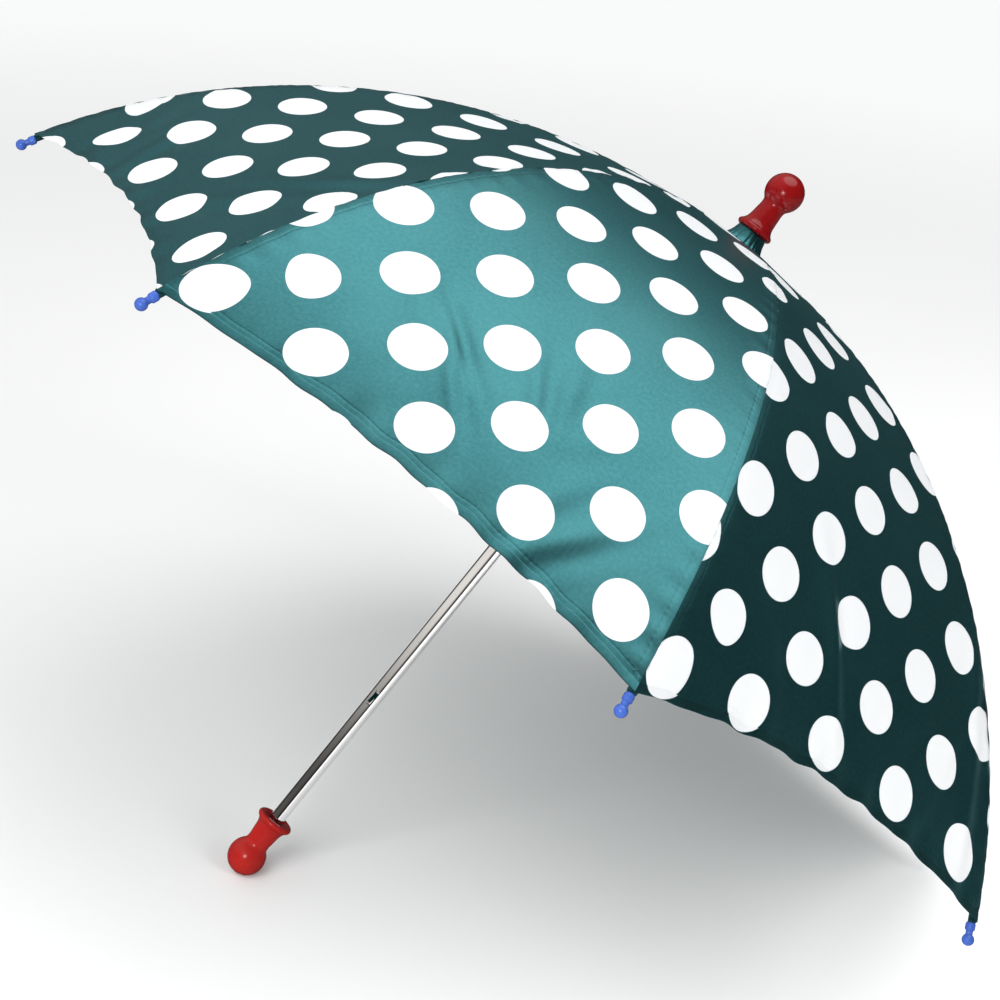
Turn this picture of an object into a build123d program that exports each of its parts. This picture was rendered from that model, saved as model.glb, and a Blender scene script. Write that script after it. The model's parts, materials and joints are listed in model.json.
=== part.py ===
"""Children's umbrella, standing open on the foot of its handle, in millimetres.

+Z runs up the shaft and the origin is the foot of the handle knob. Rib 1 points along +X,
and the others follow counter-clockwise. Each rib, its stretcher and the shaft form an
isosceles triangle, so the runner slides straight along the shaft while the ribs swing.
"""

import os
from math import asin, atan2, cos, degrees, hypot, radians, sin, sqrt

from build123d import *

# Canopy: a dome made of flat-across panels stretched between the ribs
RIB_COUNT = 8
CANOPY_RADIUS = 300.0
DOME_HALF_ANGLE = 60.0
APEX_HEIGHT = 410.0
CLOTH_THICKNESS = 0.6
SEAM_GAP = 0.1
HEM_RISE = 15.0
CANOPY_HOLE_RADIUS = 6.0

# Shaft tube and its two identical turned knobs
SHAFT_RADIUS = 4.0
SHAFT_WALL = 0.5
KNOB_BALL_RADIUS = 10.0
KNOB_NECK_RADIUS = 6.6
KNOB_NECK_HEIGHT = 11.5
KNOB_RIM_RADIUS = 9.9
KNOB_RIM_THICKNESS = 3.0
KNOB_CUP_RADIUS = 7.2
KNOB_CUP_DEPTH = 3.0
KNOB_BALL_OFFSET = 25.0
KNOB_SOCKET_DEPTH = 22.0
FINIAL_LIFT = 8.5

# Ribs and stretchers: U-channels of folded steel strip
RIB_WIDTH = 2.4
RIB_WALL = 0.4
RIB_TO_CLOTH = 2.6
STRETCHER_WIDTH = 3.5
STRETCHER_WALL = 0.5
LINK_LENGTH = 140.0
EYE_THICKNESS = 1.2
EYE_HEIGHT = 2.2
CHANNEL_SETBACK = 4.2
FORK_LENGTH = 8.0
FORK_END = 1.2
KNUCKLE_END = 1.4
KNUCKLE_RELIEF = 1.7
OUTER_SETBACK = 2.4

# Pivots
RING_RADIUS = 8.0
RING_WIRE_RADIUS = 0.5
EYE_HOLE_RADIUS = 0.6
RIVET_RADIUS = 0.5
RIVET_HEAD_RADIUS = 1.1
RIVET_HEAD_THICKNESS = 0.5
PIVOT_CLEARANCE = 0.05

# Folded position
CLOSED_LINK_ANGLE = 4.0

# Crown and runner share one notched flange
FLANGE_RADIUS = 9.4
FLANGE_HALF_HEIGHT = 1.7
GROOVE_INNER_RADIUS = 7.3
GROOVE_HEIGHT = 1.1
SLOT_INNER_RADIUS = 6.2
SLOT_WIDTH = 1.8
CROWN_HUB_RADIUS = 6.1
CROWN_HUB_LENGTH = 12.0
RUNNER_RADIUS = 6.4
RUNNER_LENGTH = 22.0
RUNNER_BORE_CLEARANCE = 0.05
GRIP_RADIUS = 7.8
GRIP_LENGTH = 3.0
WINDOW_TOP = 8.0
WINDOW_HEIGHT = 7.3
WINDOW_WIDTH = 3.0

# Spring catches inside the tube, and the pins pressed across it
CATCH_AZIMUTH = 67.5
CATCH_WIDTH = 1.8
CATCH_SLOT_WIDTH = 2.2
CATCH_REACH = 7.2
CATCH_NOSE_LENGTH = 6.6
CATCH_LEG_LENGTH = 24.0
CATCH_LEG_OUTER = 3.2
CATCH_LEG_INNER = 2.2
CATCH_PIVOT_X = 2.0
CATCH_BOSS_RADIUS = 1.2
CATCH_GAP = 0.3
CATCH_PIN_RADIUS = 0.5
CROSS_PIN_RADIUS = 0.9
CROWN_PIN_DROP = 9.0
STOP_PIN_REACH = 6.0
STOP_PIN_GAP = 0.4

# Rib tips
TIP_BALL_RADIUS = 2.6
TIP_COLLAR_RADIUS = 2.1
TIP_COLLAR_LENGTH = 3.8
TIP_COLLAR_ROUND = 1.1
TIP_NECK_RADIUS = 1.5
TIP_COLLAR_OFFSET = 2.3
TIP_BALL_OFFSET = 7.8
TIP_START = 0.3
TIP_SOCKET_DEPTH = 3.0

# Gathered cloth rosette under the finial
ROSETTE_OUTER_RADIUS = 13.5
ROSETTE_TOP_RADIUS = 8.8
ROSETTE_BOTTOM = 1.0
ROSETTE_HEIGHT = 7.0
ROSETTE_THICKNESS = 1.0

# Worked out from the driving dimensions
RIB_PITCH = 360.0 / RIB_COUNT
HALF_PITCH = RIB_PITCH / 2
DOME_RADIUS = CANOPY_RADIUS / sin(radians(DOME_HALF_ANGLE))
DOME_CENTRE_HEIGHT = APEX_HEIGHT - DOME_RADIUS
RIB_CURVE_RADIUS = DOME_RADIUS - RIB_TO_CLOTH
CROWN_ANGLE = degrees(asin(RING_RADIUS / RIB_CURVE_RADIUS))
RIVET_ANGLE = CROWN_ANGLE + 2 * degrees(asin(LINK_LENGTH / 2 / RIB_CURVE_RADIUS))
OPEN_LINK_ANGLE = 90 - (CROWN_ANGLE + RIVET_ANGLE) / 2
CROWN_RING_HEIGHT = DOME_CENTRE_HEIGHT + RIB_CURVE_RADIUS * cos(radians(CROWN_ANGLE))
OPEN_RING_HEIGHT = CROWN_RING_HEIGHT - 2 * LINK_LENGTH * cos(radians(OPEN_LINK_ANGLE))
CLOSED_RING_HEIGHT = CROWN_RING_HEIGHT - 2 * LINK_LENGTH * cos(radians(CLOSED_LINK_ANGLE))
KNOB_LENGTH = KNOB_BALL_OFFSET + KNOB_BALL_RADIUS
FINIAL_FOOT_HEIGHT = APEX_HEIGHT + FINIAL_LIFT
SHAFT_BOTTOM = KNOB_LENGTH - KNOB_SOCKET_DEPTH
SHAFT_TOP = FINIAL_FOOT_HEIGHT + KNOB_SOCKET_DEPTH
CROWN_PIN_HEIGHT = CROWN_RING_HEIGHT - CROWN_PIN_DROP
STOP_PIN_HEIGHT = OPEN_RING_HEIGHT + FLANGE_HALF_HEIGHT + STOP_PIN_GAP + CROSS_PIN_RADIUS
UPPER_NOSE_HEIGHT = OPEN_RING_HEIGHT - RUNNER_LENGTH - CATCH_GAP
LOWER_NOSE_HEIGHT = CLOSED_RING_HEIGHT - WINDOW_TOP - WINDOW_HEIGHT + CATCH_GAP


def arc_degrees(length):
    """Angle at the dome centre that a length along the rib spans."""
    return degrees(length / RIB_CURVE_RADIUS)


def rib_point(angle):
    """Point on the rib's centre line, in the rib's own upright plane."""
    across = RIB_CURVE_RADIUS * sin(radians(angle))
    height = DOME_CENTRE_HEIGHT + RIB_CURVE_RADIUS * cos(radians(angle))
    return across, height


def at_rib(angle):
    """Local frame on the rib: x along the rib towards the tip, z away from the dome centre."""
    across, height = rib_point(angle)
    return Pos(across, 0, height) * Rot(0, angle, 0)


def channel_section(width, height, wall):
    """U section in the YZ plane, open on its lower side."""
    outside = Rectangle(width, height)
    hollow = Pos(0, -wall) * Rectangle(width - 2 * wall, height)
    return outside - hollow


def bent_channel(from_angle, to_angle):
    """Length of rib channel that follows the dome."""
    section = channel_section(RIB_WIDTH, RIB_WIDTH, RIB_WALL)
    face = Plane.YZ * Pos(0, RIB_CURVE_RADIUS) * section
    bent = revolve(face, Axis.Y, to_angle - from_angle)
    return Pos(0, 0, DOME_CENTRE_HEIGHT) * Rot(0, from_angle, 0) * bent


def eye_plate(length, thickness):
    """Flat round-ended plate along +X from a pivot at the origin."""
    outline = Pos(length / 2, 0) * SlotCenterToCenter(length, EYE_HEIGHT)
    return extrude(Plane.XZ * outline, amount=thickness / 2, both=True)


def cross_cylinder(radius, length):
    """Cylinder along Y through the origin."""
    return Rot(90, 0, 0) * Cylinder(radius, length)


def rib_inner():
    """Rib from the crown ring to the stretcher rivet."""
    start = CROWN_ANGLE + arc_degrees(CHANNEL_SETBACK)
    end = RIVET_ANGLE + arc_degrees(KNUCKLE_END)
    eye = eye_plate(CHANNEL_SETBACK + 1.5, EYE_THICKNESS) - cross_cylinder(EYE_HOLE_RADIUS, 3)
    relief_length = KNUCKLE_RELIEF + KNUCKLE_END + 1
    relief_box = Box(relief_length, RIB_WIDTH - 2 * RIB_WALL, 3 * RIB_WIDTH)
    relief = Pos(relief_length / 2 - KNUCKLE_RELIEF, 0, 0) * relief_box
    knuckle_cut = relief + cross_cylinder(RIVET_RADIUS, 2 * RIB_WIDTH)
    blank = bent_channel(start, end) + at_rib(CROWN_ANGLE) * eye
    return blank - at_rib(RIVET_ANGLE) * knuckle_cut


def rib_outer():
    """Rib from the stretcher rivet to the tip."""
    start = RIVET_ANGLE + arc_degrees(OUTER_SETBACK)
    end = DOME_HALF_ANGLE + arc_degrees(TIP_SOCKET_DEPTH)
    hole = cross_cylinder(RIVET_RADIUS + PIVOT_CLEARANCE, 3)
    eye = eye_plate(OUTER_SETBACK + 1.5, EYE_THICKNESS) - hole
    return bent_channel(start, end) + at_rib(RIVET_ANGLE) * eye


def rib_tip():
    """Moulded ball tip with a small collar, pushed on the end of the rib."""
    barrel = Cylinder(TIP_COLLAR_RADIUS, TIP_COLLAR_LENGTH)
    barrel = fillet(barrel.edges().filter_by(GeomType.CIRCLE), TIP_COLLAR_ROUND)
    collar = Pos(TIP_COLLAR_OFFSET, 0, 0) * Rot(0, 90, 0) * barrel
    ball = Pos(TIP_BALL_OFFSET, 0, 0) * Sphere(TIP_BALL_RADIUS)
    neck_length = TIP_BALL_OFFSET - TIP_COLLAR_OFFSET
    neck_middle = (TIP_BALL_OFFSET + TIP_COLLAR_OFFSET) / 2
    neck = Pos(neck_middle, 0, 0) * Rot(0, 90, 0) * Cylinder(TIP_NECK_RADIUS, neck_length)
    rib_end = bent_channel(DOME_HALF_ANGLE - 1, DOME_HALF_ANGLE + arc_degrees(TIP_SOCKET_DEPTH))
    mouth = Pos(TIP_START - 5, 0, 0) * Box(10, 10, 10)
    body = at_rib(DOME_HALF_ANGLE) * (collar + neck + ball - mouth)
    return body - rib_end


def stretcher_place():
    """Frame of a stretcher: x from the rivet towards the runner ring."""
    across, height = rib_point(RIVET_ANGLE)
    drop = height - OPEN_RING_HEIGHT
    tilt = degrees(atan2(drop, RING_RADIUS - across))
    return Pos(across, 0, height) * Rot(0, tilt, 0)


def stretcher():
    """Channel strut, forked round the rib at one end and flattened to an eye at the other."""
    channel_start = FORK_LENGTH
    channel_end = LINK_LENGTH - CHANNEL_SETBACK
    channel_length = channel_end - channel_start
    section = Plane.YZ * channel_section(STRETCHER_WIDTH, RIB_WIDTH, STRETCHER_WALL)
    channel = Pos(channel_start, 0, 0) * extrude(section, amount=channel_length)
    fork_outline = Pos(FORK_LENGTH / 2, 0) * SlotCenterToCenter(FORK_LENGTH, 2 * FORK_END)
    fork = extrude(Plane.XZ * fork_outline, amount=STRETCHER_WIDTH / 2, both=True)
    fork_gap = Pos(FORK_LENGTH / 2, 0, 0) * Box(
        2 * FORK_LENGTH, STRETCHER_WIDTH - 2 * STRETCHER_WALL, 3 * RIB_WIDTH
    )
    rivet_hole = cross_cylinder(RIVET_RADIUS + PIVOT_CLEARANCE, 2 * STRETCHER_WIDTH)
    ears = fork - fork_gap - rivet_hole
    eye_length = CHANNEL_SETBACK + 1.5
    ring_hole = cross_cylinder(EYE_HOLE_RADIUS, 3)
    eye = Pos(LINK_LENGTH, 0, 0) * Rot(0, 180, 0) * (eye_plate(eye_length, EYE_THICKNESS) - ring_hole)
    return stretcher_place() * (channel + ears + eye)


def stretcher_rivet():
    """Rivet through stretcher fork and rib, with a head at each side."""
    half = STRETCHER_WIDTH / 2 + PIVOT_CLEARANCE
    stem = cross_cylinder(RIVET_RADIUS, 2 * half)
    head = cross_cylinder(RIVET_HEAD_RADIUS, RIVET_HEAD_THICKNESS)
    offset = half + RIVET_HEAD_THICKNESS / 2
    heads = Pos(0, offset, 0) * head + Pos(0, -offset, 0) * head
    return at_rib(RIVET_ANGLE) * (stem + heads)


def ring_wire(height):
    """Closed ring of wire that the rib or stretcher eyes are threaded on."""
    return Pos(0, 0, height) * Torus(RING_RADIUS, RING_WIRE_RADIUS)


def notched_flange():
    """Flange with a groove for the ring wire and one slot for each eye."""
    flange = Cylinder(FLANGE_RADIUS, 2 * FLANGE_HALF_HEIGHT)
    groove = Cylinder(FLANGE_RADIUS + 1, GROOVE_HEIGHT) - Cylinder(GROOVE_INNER_RADIUS, GROOVE_HEIGHT)
    slot_length = FLANGE_RADIUS + 1 - SLOT_INNER_RADIUS
    slot_middle = SLOT_INNER_RADIUS + slot_length / 2
    slot = Pos(slot_middle, 0, 0) * Box(slot_length, SLOT_WIDTH, 3 * FLANGE_HALF_HEIGHT)
    flange -= groove
    for index in range(RIB_COUNT):
        flange -= Rot(0, 0, index * RIB_PITCH) * slot
    return flange


def across_shaft(radius, length, height, azimuth):
    """Cylinder across the shaft at a height."""
    return Pos(0, 0, height) * Rot(0, 0, azimuth) * Rot(0, 90, 0) * Cylinder(radius, length)


def crown():
    """Notched crown that carries the ribs, pinned to the shaft."""
    hub_middle = -FLANGE_HALF_HEIGHT - CROWN_HUB_LENGTH / 2 + 1
    hub = Pos(0, 0, hub_middle) * Cylinder(CROWN_HUB_RADIUS, CROWN_HUB_LENGTH)
    body = Pos(0, 0, CROWN_RING_HEIGHT) * (notched_flange() + hub)
    body -= Pos(0, 0, CROWN_RING_HEIGHT) * Cylinder(SHAFT_RADIUS, 60)
    return body - across_shaft(CROSS_PIN_RADIUS, 40, CROWN_PIN_HEIGHT, HALF_PITCH)


def runner():
    """Sliding sleeve with a notched flange, a finger grip and a catch window."""
    sleeve_middle = -RUNNER_LENGTH / 2
    sleeve = Pos(0, 0, sleeve_middle) * Cylinder(RUNNER_RADIUS, RUNNER_LENGTH)
    grip_middle = -RUNNER_LENGTH + GRIP_LENGTH / 2
    grip = Pos(0, 0, grip_middle) * Cylinder(GRIP_RADIUS, GRIP_LENGTH)
    grip = fillet(grip.edges().filter_by(GeomType.CIRCLE), 1.0)
    bore = Cylinder(SHAFT_RADIUS + RUNNER_BORE_CLEARANCE, 4 * RUNNER_LENGTH)
    window_middle = -WINDOW_TOP - WINDOW_HEIGHT / 2
    window = Pos(GRIP_RADIUS, 0, window_middle) * Box(2 * GRIP_RADIUS, WINDOW_WIDTH, WINDOW_HEIGHT)
    body = notched_flange() + sleeve + grip - bore - Rot(0, 0, CATCH_AZIMUTH) * window
    return Pos(0, 0, OPEN_RING_HEIGHT) * body


def catch_blade():
    """Leaf catch whose nose has its flat side up at the origin's height."""
    nose = Polyline(
        (CATCH_LEG_INNER, 0),
        (CATCH_REACH, 0),
        (CATCH_REACH, -1.0),
        (CATCH_LEG_OUTER, -CATCH_NOSE_LENGTH),
        (CATCH_LEG_OUTER, -CATCH_LEG_LENGTH),
        (CATCH_LEG_INNER, -CATCH_LEG_LENGTH),
        close=True,
    )
    blade = extrude(Plane.XZ * make_face(nose), amount=CATCH_WIDTH / 2, both=True)
    pivot = Pos(CATCH_PIVOT_X, 0, -CATCH_LEG_LENGTH)
    boss = pivot * cross_cylinder(CATCH_BOSS_RADIUS, CATCH_WIDTH)
    hole = pivot * cross_cylinder(CATCH_PIN_RADIUS + PIVOT_CLEARANCE, 3)
    return blade + boss - hole


def upper_catch():
    """Catch that stands out under the runner and holds the canopy open."""
    return Pos(0, 0, UPPER_NOSE_HEIGHT) * Rot(0, 0, CATCH_AZIMUTH) * catch_blade()


def lower_catch():
    """Same catch the other way up, which fills the runner's window when closed."""
    flipped = mirror(catch_blade(), Plane.XY)
    return Pos(0, 0, LOWER_NOSE_HEIGHT) * Rot(0, 0, CATCH_AZIMUTH) * flipped


def catch_pin(height):
    """Small pin across the tube that a catch turns on."""
    length = 2 * sqrt(SHAFT_RADIUS**2 - (CATCH_PIVOT_X + CATCH_PIN_RADIUS) ** 2)
    pin = Pos(CATCH_PIVOT_X, 0, 0) * cross_cylinder(CATCH_PIN_RADIUS, length)
    return Pos(0, 0, height) * Rot(0, 0, CATCH_AZIMUTH) * pin


def cross_pins():
    """The four pins pressed across the tube: crown pin, runner stop and two catch pins."""
    crown_pin = across_shaft(CROSS_PIN_RADIUS, 2 * CROWN_HUB_RADIUS, CROWN_PIN_HEIGHT, HALF_PITCH)
    stop_pin = across_shaft(CROSS_PIN_RADIUS, 2 * STOP_PIN_REACH, STOP_PIN_HEIGHT, HALF_PITCH)
    upper_pin = catch_pin(UPPER_NOSE_HEIGHT - CATCH_LEG_LENGTH)
    lower_pin = catch_pin(LOWER_NOSE_HEIGHT + CATCH_LEG_LENGTH)
    return [crown_pin, stop_pin, upper_pin, lower_pin]


def shaft_tube():
    """Thin steel tube with slots for the catches and holes for the pins."""
    length = SHAFT_TOP - SHAFT_BOTTOM
    middle = (SHAFT_TOP + SHAFT_BOTTOM) / 2
    tube = Cylinder(SHAFT_RADIUS, length) - Cylinder(SHAFT_RADIUS - SHAFT_WALL, length)
    tube = Pos(0, 0, middle) * tube
    slot_length = CATCH_NOSE_LENGTH + 2
    slot = Pos(SHAFT_RADIUS, 0, 0) * Box(2 * SHAFT_WALL + 2, CATCH_SLOT_WIDTH, slot_length)
    turn = Rot(0, 0, CATCH_AZIMUTH)
    tube -= Pos(0, 0, UPPER_NOSE_HEIGHT - CATCH_NOSE_LENGTH / 2) * turn * slot
    tube -= Pos(0, 0, LOWER_NOSE_HEIGHT + CATCH_NOSE_LENGTH / 2) * turn * slot
    for pin in cross_pins():
        tube -= pin
    return tube


def knob():
    """Turned knob on its open rim: thick lip round a shallow cup, flared neck, ball end, tube socket."""
    lip = KNOB_RIM_THICKNESS / 2
    join_radius = 7.2
    join_height = KNOB_BALL_OFFSET - sqrt(KNOB_BALL_RADIUS**2 - join_radius**2)
    join_slope = (KNOB_BALL_OFFSET - join_height, join_radius)
    lip_top = (KNOB_RIM_RADIUS - lip * 0.35, lip * 1.9)
    rim_edge = ThreePointArc((KNOB_RIM_RADIUS - lip, 0), (KNOB_RIM_RADIUS, lip), lip_top)
    waist = Spline(
        lip_top,
        (KNOB_NECK_RADIUS, KNOB_NECK_HEIGHT),
        (join_radius, join_height),
        tangents=((-1.0, 0.75), join_slope),
    )
    ball = ThreePointArc((join_radius, join_height), (KNOB_BALL_RADIUS, KNOB_BALL_OFFSET), (0, KNOB_LENGTH))
    cup = Line((0, KNOB_CUP_DEPTH), (SHAFT_RADIUS + 0.4, KNOB_CUP_DEPTH))
    cup_wall = Line((SHAFT_RADIUS + 0.4, KNOB_CUP_DEPTH), (KNOB_CUP_RADIUS, 0))
    foot = Line((KNOB_CUP_RADIUS, 0), (KNOB_RIM_RADIUS - lip, 0))
    spine = Line((0, KNOB_LENGTH), (0, KNOB_CUP_DEPTH))
    outline = make_face(cup + cup_wall + foot + rim_edge + waist + ball + spine)
    solid = revolve(Plane.XZ * outline, Axis.Z, 360)
    socket = Pos(0, 0, KNOB_SOCKET_DEPTH / 2) * Cylinder(SHAFT_RADIUS, KNOB_SOCKET_DEPTH)
    return solid - socket


def handle_knob():
    """Knob at the foot of the shaft, rim up."""
    return Pos(0, 0, KNOB_LENGTH) * Rot(180, 0, 0) * knob()


def finial_knob():
    """The same knob on top of the shaft, rim down."""
    return Pos(0, 0, FINIAL_FOOT_HEIGHT) * knob()


def rosette():
    """Gathered cloth collar between canopy and finial."""
    bottom = APEX_HEIGHT + ROSETTE_BOTTOM
    top = bottom + ROSETTE_HEIGHT
    outline = Polyline(
        (ROSETTE_OUTER_RADIUS - 2 * ROSETTE_THICKNESS, bottom),
        (ROSETTE_OUTER_RADIUS, bottom),
        (ROSETTE_TOP_RADIUS, top),
        (ROSETTE_TOP_RADIUS - ROSETTE_THICKNESS, top),
        close=True,
    )
    return revolve(Plane.XZ * make_face(outline), Axis.Z, 360)


def dome_point(radius, angle):
    """Point of a panel's middle section at an angle from the dome's axis."""
    across = radius * sin(radians(angle)) * cos(radians(HALF_PITCH))
    height = DOME_CENTRE_HEIGHT + radius * cos(radians(angle))
    return across, height


def panel_outline():
    """Plan outline of one panel: two seams, a scalloped hem and the shaft hole."""
    half = radians(HALF_PITCH)
    hem_plan_rise = HEM_RISE * cos(radians(DOME_HALF_ANGLE))
    inset = SEAM_GAP / 2 / cos(half)
    inner_x = CANOPY_HOLE_RADIUS * cos(half)
    inner_y = CANOPY_HOLE_RADIUS * sin(half) - inset
    corner_x = CANOPY_RADIUS * cos(half)
    corner_y = CANOPY_RADIUS * sin(half) - inset
    hem = ThreePointArc((corner_x, -corner_y), (corner_x - hem_plan_rise, 0), (corner_x, corner_y))
    right_seam = Line((inner_x, -inner_y), (corner_x, -corner_y))
    left_seam = Line((corner_x, corner_y), (inner_x, inner_y))
    hole = Line((inner_x, inner_y), (inner_x, -inner_y))
    return make_face(right_seam + hem + left_seam + hole)


def canopy_panel():
    """One canopy panel, curved along its length and flat across, centred on +X."""
    angles = [DOME_HALF_ANGLE * step / 8 for step in range(9)]
    overrun = 1.5
    angles[-1] += overrun
    outer_radius = DOME_RADIUS + CLOTH_THICKNESS / 2
    inner_radius = DOME_RADIUS - CLOTH_THICKNESS / 2
    outer = [dome_point(outer_radius, angle) for angle in angles]
    inner = [dome_point(inner_radius, angle) for angle in angles]
    skin_edges = Spline(*outer) + Line(outer[-1], inner[-1]) + Spline(*inner) + Line(inner[0], outer[0])
    skin = extrude(Plane.XZ * make_face(skin_edges), amount=CANOPY_RADIUS / 2, both=True)
    trim = extrude(panel_outline(), amount=2 * APEX_HEIGHT)
    return skin & trim


def export_node(name, shape):
    """Write one node as its own STEP file."""
    export_step(shape, f"parts/{name}.step")


def main():
    os.makedirs("parts", exist_ok=True)
    export_node("shaft_tube", shaft_tube())
    export_node("handle_knob", handle_knob())
    export_node("finial_knob", finial_knob())
    export_node("crown", crown())
    export_node("crown_ring_wire", ring_wire(CROWN_RING_HEIGHT))
    export_node("cross_pins", Compound(children=cross_pins()))
    export_node("rosette", rosette())
    export_node("upper_catch", upper_catch())
    export_node("lower_catch", lower_catch())
    export_node("runner", runner())
    export_node("runner_ring_wire", ring_wire(OPEN_RING_HEIGHT))
    repeated = {
        "rib_inner": rib_inner(),
        "rib_outer": rib_outer(),
        "rib_tip": rib_tip(),
        "stretcher": stretcher(),
        "stretcher_rivet": stretcher_rivet(),
        "canopy_panel": Rot(0, 0, HALF_PITCH) * canopy_panel(),
    }
    for index in range(RIB_COUNT):
        for name, shape in repeated.items():
            export_node(f"{name}_{index + 1}", Rot(0, 0, index * RIB_PITCH) * shape)


main()
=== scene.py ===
"""Looks of the children's umbrella: dotted satin canopy, gloss plastics, chrome, pale floor."""

import json
from math import cos, pi, radians, sin

import bpy
import numpy as np
from mathutils import Matrix, Vector


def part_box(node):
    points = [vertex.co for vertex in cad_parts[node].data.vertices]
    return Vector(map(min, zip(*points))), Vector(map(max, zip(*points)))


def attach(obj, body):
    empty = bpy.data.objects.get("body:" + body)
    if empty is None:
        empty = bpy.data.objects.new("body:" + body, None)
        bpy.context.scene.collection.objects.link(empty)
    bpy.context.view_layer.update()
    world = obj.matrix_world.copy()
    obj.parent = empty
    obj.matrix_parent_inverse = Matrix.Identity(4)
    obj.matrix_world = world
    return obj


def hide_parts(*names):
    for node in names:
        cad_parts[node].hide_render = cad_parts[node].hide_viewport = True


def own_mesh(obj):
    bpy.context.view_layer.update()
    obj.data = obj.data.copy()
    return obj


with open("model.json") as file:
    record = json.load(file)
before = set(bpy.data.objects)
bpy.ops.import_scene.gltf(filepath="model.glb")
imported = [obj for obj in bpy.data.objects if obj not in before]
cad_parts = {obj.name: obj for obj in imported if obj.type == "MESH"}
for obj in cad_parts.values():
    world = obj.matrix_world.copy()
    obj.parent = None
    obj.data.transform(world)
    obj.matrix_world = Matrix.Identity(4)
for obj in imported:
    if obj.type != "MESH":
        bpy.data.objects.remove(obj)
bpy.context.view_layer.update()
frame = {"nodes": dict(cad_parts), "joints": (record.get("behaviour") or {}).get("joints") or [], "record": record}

# ---------------------------------------------------------------- sizes, in metres
MM = 0.001
CLOTH_HALF_THICKNESS = 0.3 * MM
DOME_HALF_ANGLE = radians(60)
CANOPY_HOLE_RADIUS = 6 * MM
PANEL_OVERHANG = 0.2 * MM  # of the CAD panel past the canopy's radius

# How far a hem rises between two rib ends; the front panel's hangs lower
HEM_RISE = 15 * MM
LOW_HEM_RISE = {2: 9.5 * MM}
HEM_WIDTH = 4.0 * MM
HEM_HEIGHT = 0.3 * MM
HEM_INSET = 0.42 * HEM_WIDTH
HEM_RIPPLE = 0.5 * MM

# Reach and strength of the cloth's roll over a rib, on the later and the earlier panel
SEAM_ROLL_REACH = (5.0 * MM, 1.6 * MM)
SEAM_ROLL_STRENGTH = (0.9, 0.5)
SEAM_ROLL_NARROWS = 30 * MM

SEAM_STITCH_INSET = 3.4 * MM
HEM_STITCH_INSET = 6 * MM
STITCH_PITCH = 2.6 * MM

PANEL_SAG = 1.6 * MM
PUCKER_HEIGHT = 0.22 * MM
PUCKER_PITCH = 11 * MM
HEM_WAVE_HEIGHT = 0.32 * MM
HEM_WAVES = (31 * MM, 17 * MM)
SIDE_CREASES = 3

# Each half panel is cut into bands at these dome angles; None stands for the rivet's angle
BAND_SPLITS_DEG = (4.0, 8.0, 12.5, 18.0, None, 34.0, 44.0, 50.0, 55.5)
ROWS_PER_BAND = 14
COLUMNS_PER_HALF = 44

DOT_RADIUS = 11.2 * MM
DOT_BLUR = 0.15 * MM
DOT_COLUMN = 24.6 * MM
DOT_ROW = 54.2 * MM
DOT_ORIGIN = (-6.5 * MM, 315 * MM)
PRINT_LENGTH = 330 * MM

# The pocket over a rib's end: its start and length along the rib, and its size at start and end
POCKET_START = -6.0 * MM
POCKET_LENGTH = 6.8 * MM
POCKET_DEPTH = 2.0 * MM  # of its middle line below the cloth
POCKET_WIDTH = (4.8 * MM, 4.2 * MM)
POCKET_HEIGHT = (3.5 * MM, 3.7 * MM)
POCKET_TAPER = (0.97, 0.82)  # of its last two rings
POCKET_RINGS = 14

FLOOR_FADE = (0.7, 2.4)  # distances between which the paper turns into the backdrop

ROSETTE_AROUND = 144
ROSETTE_RINGS = 14
ROSETTE_GATHER = 0.25 * MM
ROSETTE_DIP = 0.9 * MM  # below the CAD collar, so that its foot meets the cloth

# ---------------------------------------------------------------- places, from the frame
RIB_COUNT = len([name for name in frame["nodes"] if name.startswith("canopy_panel_")])
PITCH = 2 * pi / RIB_COUNT
HALF = PITCH / 2
JOINTS = {joint["name"]: joint for joint in frame["joints"]}
_, panel_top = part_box("canopy_panel_1")
CANOPY_RADIUS = panel_top.x - PANEL_OVERHANG
APEX = panel_top.z - CLOTH_HALF_THICKNESS
DOME_RADIUS = CANOPY_RADIUS / sin(DOME_HALF_ANGLE)
DOME_CENTRE = APEX - DOME_RADIUS
RIVET_PIVOT = (JOINTS["rib_1_flex"]["pos_m"][0], JOINTS["rib_1_flex"]["pos_m"][2])
RIVET_ANGLE = float(np.arctan2(RIVET_PIVOT[0], RIVET_PIVOT[1] - DOME_CENTRE))


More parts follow.
